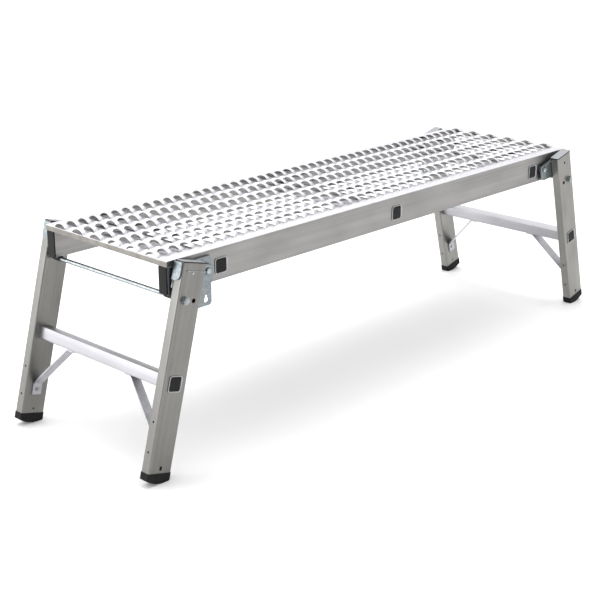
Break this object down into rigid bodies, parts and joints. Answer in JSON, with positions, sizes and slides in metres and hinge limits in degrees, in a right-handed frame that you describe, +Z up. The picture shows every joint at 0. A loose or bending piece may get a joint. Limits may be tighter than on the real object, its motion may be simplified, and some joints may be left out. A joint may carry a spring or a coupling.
{
  "type": "folding work platform",
  "caption": "Low folding work platform: anti-slip sheet deck on box rails, with splayed leg frames that fold in under it.",
  "frame": {"origin": "on the floor, under the middle of the deck", "axes": "+X along the deck, +Y across it, +Z up"},
  "size_m": [1.705, 0.502, 0.4763],
  "materials": {
    "deck_sheet": "pressed anti-slip sheet, bright",
    "extrusion": "satin mill finish extrusion",
    "rung_tube": "light mill finish tube",
    "galvanised": "zinc plated, bluish",
    "black_plastic": "black, fine grain",
    "black_rubber": "black, matt"
  },
  "bodies": {
    "deck": {"cross_rung_left": "rung_tube", "cross_rung_middle": "rung_tube", "cross_rung_plugs": "black_plastic", "cross_rung_right": "rung_tube", "deck_plate": "deck_sheet", "deck_rail_back": "extrusion", "deck_rail_front": "extrusion", "lock_plate_left": "galvanised", "lock_plate_right": "galvanised", "lock_plate_rivets": "galvanised", "pivot_bolt_left_back": "galvanised", "pivot_bolt_left_front": "galvanised", "pivot_bolt_right_back": "galvanised", "pivot_bolt_right_front": "galvanised", "pivot_inserts": "galvanised", "pivot_spacers": "galvanised", "rail_plug_left_back": "black_plastic", "rail_plug_left_front": "black_plastic", "rail_plug_right_back": "black_plastic", "rail_plug_right_front": "black_plastic"},
    "leg_frame_left": {"brace_left_back": "rung_tube", "brace_left_front": "rung_tube", "brace_rivets_left": "galvanised", "bracket_rivets_left": "galvanised", "foot_left_back": "black_rubber", "foot_left_front": "black_rubber", "hinge_bracket_left_back": "galvanised", "hinge_bracket_left_front": "galvanised", "leg_rung_left": "rung_tube", "leg_rung_plugs_left": "black_plastic", "lock_wire_left": "galvanised", "rod_nuts_left": "galvanised", "rod_sleeves_left": "black_plastic", "stile_cap_left_back": "black_plastic", "stile_cap_left_front": "black_plastic", "stile_left_back": "extrusion", "stile_left_front": "extrusion", "through_rod_left": "galvanised"},
    "leg_frame_right": {"brace_right_back": "rung_tube", "brace_right_front": "rung_tube", "brace_rivets_right": "galvanised", "bracket_rivets_right": "galvanised", "foot_right_back": "black_rubber", "foot_right_front": "black_rubber", "hinge_bracket_right_back": "galvanised", "hinge_bracket_right_front": "galvanised", "leg_rung_plugs_right": "black_plastic", "leg_rung_right": "rung_tube", "lock_wire_right": "galvanised", "rod_nuts_right": "galvanised", "rod_sleeves_right": "black_plastic", "stile_cap_right_back": "black_plastic", "stile_cap_right_front": "black_plastic", "stile_right_back": "extrusion", "stile_right_front": "extrusion", "through_rod_right": "galvanised"},
    "lock_pin_left": {"lock_pin_left": "galvanised"},
    "lock_pin_right": {"lock_pin_right": "galvanised"}
  },
  "joints": [
    {"name": "leg_frame_left_fold", "type": "hinge", "parent": "deck", "child": "leg_frame_left", "pos_m": [-0.641, 0, 0.43], "axis": [0, -1, 0], "range_deg": [0, 101]},
    {"name": "leg_frame_right_fold", "type": "hinge", "parent": "deck", "child": "leg_frame_right", "pos_m": [0.641, 0, 0.43], "axis": [0, 1, 0], "range_deg": [0, 101]},
    {"name": "lock_pin_left_slide", "type": "slide", "parent": "leg_frame_left", "child": "lock_pin_left", "axis": [0, 1, 0], "range_m": [0, 0.007]},
    {"name": "lock_pin_right_slide", "type": "slide", "parent": "leg_frame_right", "child": "lock_pin_right", "axis": [0, -1, 0], "range_m": [0, 0.007]}
  ]
}
